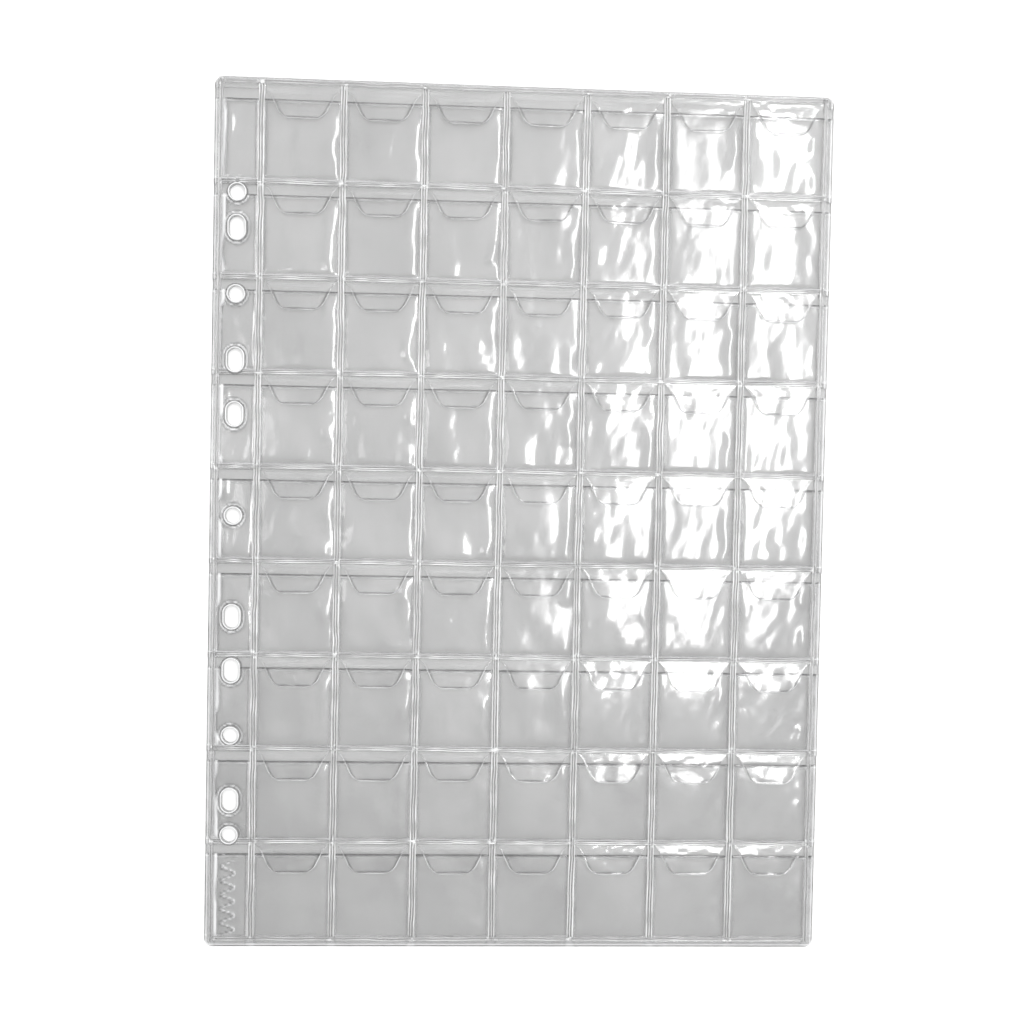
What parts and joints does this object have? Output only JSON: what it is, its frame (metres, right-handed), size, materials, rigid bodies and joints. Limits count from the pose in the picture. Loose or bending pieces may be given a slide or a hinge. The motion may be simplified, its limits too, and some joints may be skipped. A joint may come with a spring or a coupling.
{
  "type": "coin album page",
  "caption": "Clear plastic coin album page with rows of flap-topped pockets, welded seams and a margin punched for ring binders.",
  "frame": {"origin": "middle of the page's underside, which lies on the table", "axes": "+X from the binder margin to the free edge, +Y to the page's top edge, +Z out of the front, which has the pocket mouths and flaps"},
  "size_m": [0.232, 0.325, 0.0025],
  "materials": {
    "back_film": "clear soft vinyl film, glossy",
    "front_film": "clear soft vinyl film, glossy, slightly slack",
    "flap_film": "clear soft vinyl film, glossy, die-cut edges",
    "weld": "fused vinyl seam, pressed flat between two beads",
    "hole_rim": "fused vinyl rim, glossy"
  },
  "bodies": {
    "page": {"rear_sheet": "back_film", "hole_rims": "hole_rim", "margin_weld": "weld", "left_edge_weld": "weld", "right_edge_weld": "weld", "top_edge_weld": "weld", "bottom_edge_weld": "weld", "column_weld_1": "weld", "column_weld_2": "weld", "column_weld_3": "weld", "column_weld_4": "weld", "column_weld_5": "weld", "column_weld_6": "weld", "row_weld_1": "weld", "row_weld_2": "weld", "row_weld_3": "weld", "row_weld_4": "weld", "row_weld_5": "weld", "row_weld_6": "weld", "row_weld_7": "weld", "row_weld_8": "weld", "front_strip_1": "front_film", "front_strip_2": "front_film", "front_strip_3": "front_film", "front_strip_4": "front_film", "front_strip_5": "front_film", "front_strip_6": "front_film", "front_strip_7": "front_film", "front_strip_8": "front_film", "front_strip_9": "front_film", "flap_band_1": "flap_film", "flap_band_2": "flap_film", "flap_band_3": "flap_film", "flap_band_4": "flap_film", "flap_band_5": "flap_film", "flap_band_6": "flap_film", "flap_band_7": "flap_film", "flap_band_8": "flap_film", "flap_band_9": "flap_film"},
    "flap_row_1": {"flaps_1": "flap_film"},
    "flap_row_2": {"flaps_2": "flap_film"},
    "flap_row_3": {"flaps_3": "flap_film"},
    "flap_row_4": {"flaps_4": "flap_film"},
    "flap_row_5": {"flaps_5": "flap_film"},
    "flap_row_6": {"flaps_6": "flap_film"},
    "flap_row_7": {"flaps_7": "flap_film"},
    "flap_row_8": {"flaps_8": "flap_film"},
    "flap_row_9": {"flaps_9": "flap_film"}
  },
  "joints": [
    {"name": "flap_row_1_lift", "type": "hinge", "parent": "page", "child": "flap_row_1", "pos_m": [0, 0.158, 0.00245], "axis": [-1, 0, 0], "range_deg": [0, 165], "stiffness_Nm_per_rad": 0.0012},
    {"name": "flap_row_2_lift", "type": "hinge", "parent": "page", "child": "flap_row_2", "pos_m": [0, 0.1228, 0.00245], "axis": [-1, 0, 0], "range_deg": [0, 165], "stiffness_Nm_per_rad": 0.0012},
    {"name": "flap_row_3_lift", "type": "hinge", "parent": "page", "child": "flap_row_3", "pos_m": [0, 0.0876, 0.00245], "axis": [-1, 0, 0], "range_deg": [0, 165], "stiffness_Nm_per_rad": 0.0012},
    {"name": "flap_row_4_lift", "type": "hinge", "parent": "page", "child": "flap_row_4", "pos_m": [0, 0.0524, 0.00245], "axis": [-1, 0, 0], "range_deg": [0, 165], "stiffness_Nm_per_rad": 0.0012},
    {"name": "flap_row_5_lift", "type": "hinge", "parent": "page", "child": "flap_row_5", "pos_m": [0, 0.0172, 0.00245], "axis": [-1, 0, 0], "range_deg": [0, 165], "stiffness_Nm_per_rad": 0.0012},
    {"name": "flap_row_6_lift", "type": "hinge", "parent": "page", "child": "flap_row_6", "pos_m": [0, -0.018, 0.00245], "axis": [-1, 0, 0], "range_deg": [0, 165], "stiffness_Nm_per_rad": 0.0012},
    {"name": "flap_row_7_lift", "type": "hinge", "parent": "page", "child": "flap_row_7", "pos_m": [0, -0.0532, 0.00245], "axis": [-1, 0, 0], "range_deg": [0, 165], "stiffness_Nm_per_rad": 0.0012},
    {"name": "flap_row_8_lift", "type": "hinge", "parent": "page", "child": "flap_row_8", "pos_m": [0, -0.0884, 0.00245], "axis": [-1, 0, 0], "range_deg": [0, 165], "stiffness_Nm_per_rad": 0.0012},
    {"name": "flap_row_9_lift", "type": "hinge", "parent": "page", "child": "flap_row_9", "pos_m": [0, -0.1236, 0.00245], "axis": [-1, 0, 0], "range_deg": [0, 165], "stiffness_Nm_per_rad": 0.0012}
  ]
}
